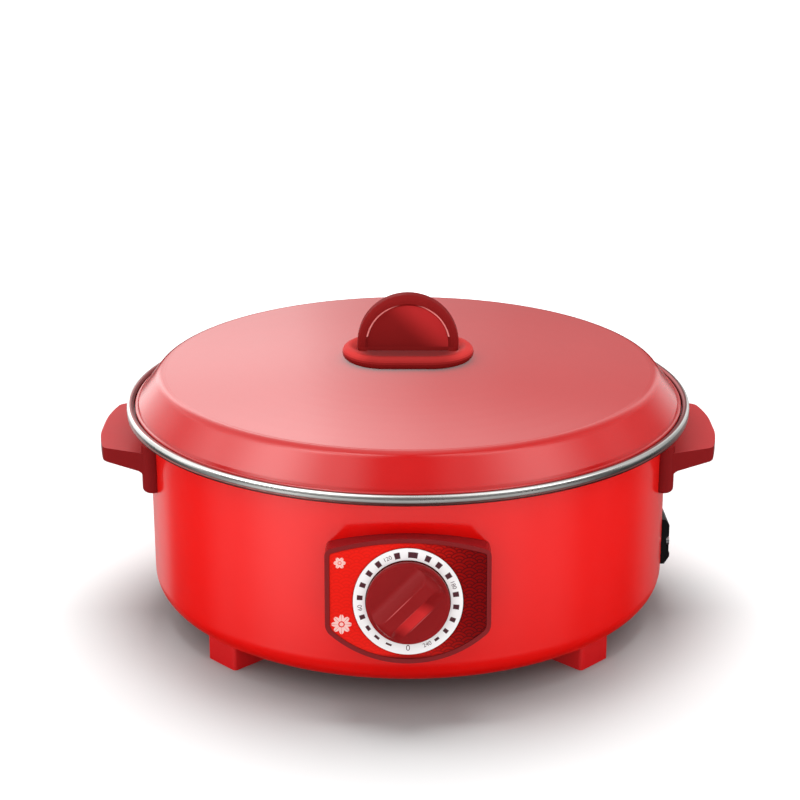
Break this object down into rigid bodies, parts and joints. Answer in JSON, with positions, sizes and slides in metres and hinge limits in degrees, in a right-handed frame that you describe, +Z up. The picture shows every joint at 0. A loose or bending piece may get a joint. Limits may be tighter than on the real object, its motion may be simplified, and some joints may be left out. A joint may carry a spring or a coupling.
{
  "type": "electric hot pot",
  "caption": "Round free-standing electric hot pot with a lift-off lid, side handles, a control panel with a heat dial and a power inlet.",
  "frame": {"origin": "on the pot's axis, in the plane that the feet stand on", "axes": "+Z is up along the pot's axis, -Y points out of the control panel, and the handles are at -X and +X"},
  "size_m": [0.367, 0.3525, 0.1904],
  "materials": {
    "painted_steel_red": "high gloss red paint",
    "bare_rim_metal": "satin bright",
    "pan_coating": "dark satin non-stick coat",
    "handle_plastic": "satin dark red",
    "foot_plastic": "satin dark red",
    "grip_plastic": "glossy dark red",
    "knob_plastic": "glossy dark red",
    "panel_plastic": "glossy maroon",
    "panel_print": "printed under a clear gloss",
    "scale_print": "printed, satin",
    "inlet_plastic": "black, fine grain",
    "zinc_plated_steel": "zinc plated",
    "galvanised_sheet": "galvanised",
    "cast_aluminium": "as cast",
    "heater_sheath": "heat-darkened",
    "white_ceramic": "unglazed",
    "thermostat_case": "dark phenolic",
    "spring_steel": "bright",
    "copper": "bare copper tube",
    "brass": "bright",
    "brown_insulation": "smooth",
    "blue_insulation": "smooth",
    "green_insulation": "smooth"
  },
  "bodies": {
    "pot": {"shell": "painted_steel_red", "rim_ring": "bare_rim_metal", "pan": "pan_coating", "handle_left": "handle_plastic", "handle_right": "handle_plastic", "foot_front_left": "foot_plastic", "foot_front_right": "foot_plastic", "foot_back_left": "foot_plastic", "foot_back_right": "foot_plastic", "panel_housing": "panel_plastic", "panel_face": "panel_print", "scale_ring": "scale_print", "inlet_housing": "inlet_plastic", "handle_screws": "zinc_plated_steel", "foot_screws": "zinc_plated_steel", "foot_nuts": "zinc_plated_steel", "base_screws": "zinc_plated_steel", "centre_stud": "zinc_plated_steel", "centre_nuts": "zinc_plated_steel", "panel_screws": "zinc_plated_steel", "thermostat_bracket": "zinc_plated_steel", "thermostat_screws": "zinc_plated_steel", "thermostat_terminals": "zinc_plated_steel", "bulb_clips": "zinc_plated_steel", "inlet_screws": "zinc_plated_steel", "inlet_nuts": "zinc_plated_steel", "fuse_clip": "zinc_plated_steel", "base_plate": "galvanised_sheet", "heat_shield": "galvanised_sheet", "heater_plate": "cast_aluminium", "heater_tube": "heater_sheath", "heater_pins": "heater_sheath", "heater_bushes": "white_ceramic", "thermal_fuse": "white_ceramic", "thermostat_body": "thermostat_case", "capillary": "copper", "inlet_pins": "brass", "earth_screw": "brass", "wire_live": "brown_insulation", "wire_switched": "brown_insulation", "wire_fused": "brown_insulation", "wire_neutral": "blue_insulation", "wire_earth": "green_insulation"},
    "lid": {"lid_sheet": "painted_steel_red", "lid_knob": "grip_plastic", "knob_insert": "brass", "lid_screw": "zinc_plated_steel", "lid_washer": "zinc_plated_steel"},
    "dial": {"dial_knob": "knob_plastic", "knob_sleeve": "spring_steel", "thermostat_shaft": "zinc_plated_steel"}
  },
  "joints": [
    {"name": "lid_lift", "type": "slide", "parent": "pot", "child": "lid", "axis": [0, 0, 1], "range_m": [0, 0.2]},
    {"name": "dial_turn", "type": "hinge", "parent": "pot", "child": "dial", "pos_m": [0, -0.17, 0.0705], "axis": [0, -0.9903, 0.1392], "range_deg": [-107, 225]}
  ]
}
